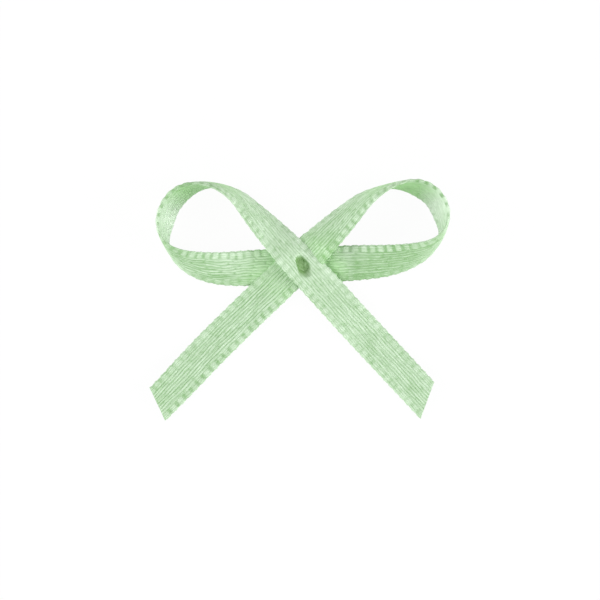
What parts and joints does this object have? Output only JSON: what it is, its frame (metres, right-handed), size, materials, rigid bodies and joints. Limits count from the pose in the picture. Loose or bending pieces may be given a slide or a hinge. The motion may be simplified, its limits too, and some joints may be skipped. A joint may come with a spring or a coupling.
{
  "type": "gift bow",
  "caption": "Small flat gift bow folded from one narrow satin ribbon and fused at the crossing, with twisted loops and slant-cut tails.",
  "frame": {"origin": "centre of the weld, on the back face of the bow", "axes": "+X to the right along the loops, +Y towards the loops and away from the tails, +Z out of the front of the bow"},
  "size_m": [0.025, 0.02, 0.003],
  "materials": {
    "ribbon": "pale green woven double-faced satin ribbon",
    "weld": "ribbon melted to a darker, denser green"
  },
  "bodies": {
    "centre": {"back_ply": "ribbon", "middle_ply": "ribbon", "front_ply": "ribbon", "fused_core": "weld"},
    "left_loop": {"left_loop_lower_limb": "ribbon", "left_loop_crown": "ribbon", "left_loop_upper_limb": "ribbon"},
    "right_loop": {"right_loop_lower_limb": "ribbon", "right_loop_crown": "ribbon", "right_loop_upper_limb": "ribbon"},
    "left_tail": {"left_tail": "ribbon"},
    "left_tail_tip": {"left_tail_tip": "ribbon"},
    "right_tail": {"right_tail": "ribbon"},
    "right_tail_tip": {"right_tail_tip": "ribbon"}
  },
  "joints": [
    {"name": "left_loop_fold", "type": "hinge", "parent": "centre", "child": "left_loop", "pos_m": [-0.00148, 0.00159, 0.00097], "axis": [0.7314, 0.682, 0], "range_deg": [-10, 60], "stiffness_Nm_per_rad": 0.00004},
    {"name": "right_loop_fold", "type": "hinge", "parent": "centre", "child": "right_loop", "pos_m": [0.00102, 0.00153, 0.00057], "axis": [0.7009, -0.7133, 0], "range_deg": [-10, 60], "stiffness_Nm_per_rad": 0.00004},
    {"name": "left_tail_lift", "type": "hinge", "parent": "centre", "child": "left_tail", "pos_m": [-0.00154, -0.001, 0.00057], "axis": [-0.7009, 0.7133, 0], "range_deg": [0, 60], "stiffness_Nm_per_rad": 0.00002},
    {"name": "left_tail_curl", "type": "hinge", "parent": "left_tail", "child": "left_tail_tip", "pos_m": [-0.00689, -0.00625, 0.00017], "axis": [-0.7009, 0.7133, 0], "range_deg": [-30, 30], "stiffness_Nm_per_rad": 0.00002},
    {"name": "right_tail_lift", "type": "hinge", "parent": "centre", "child": "right_tail", "pos_m": [0.00098, -0.00105, 0.00097], "axis": [-0.7314, -0.682, 0], "range_deg": [0, 60], "stiffness_Nm_per_rad": 0.00002},
    {"name": "right_tail_curl", "type": "hinge", "parent": "right_tail", "child": "right_tail_tip", "pos_m": [0.00634, -0.0068, 0.00017], "axis": [-0.7314, -0.682, 0], "range_deg": [-30, 30], "stiffness_Nm_per_rad": 0.00002}
  ]
}
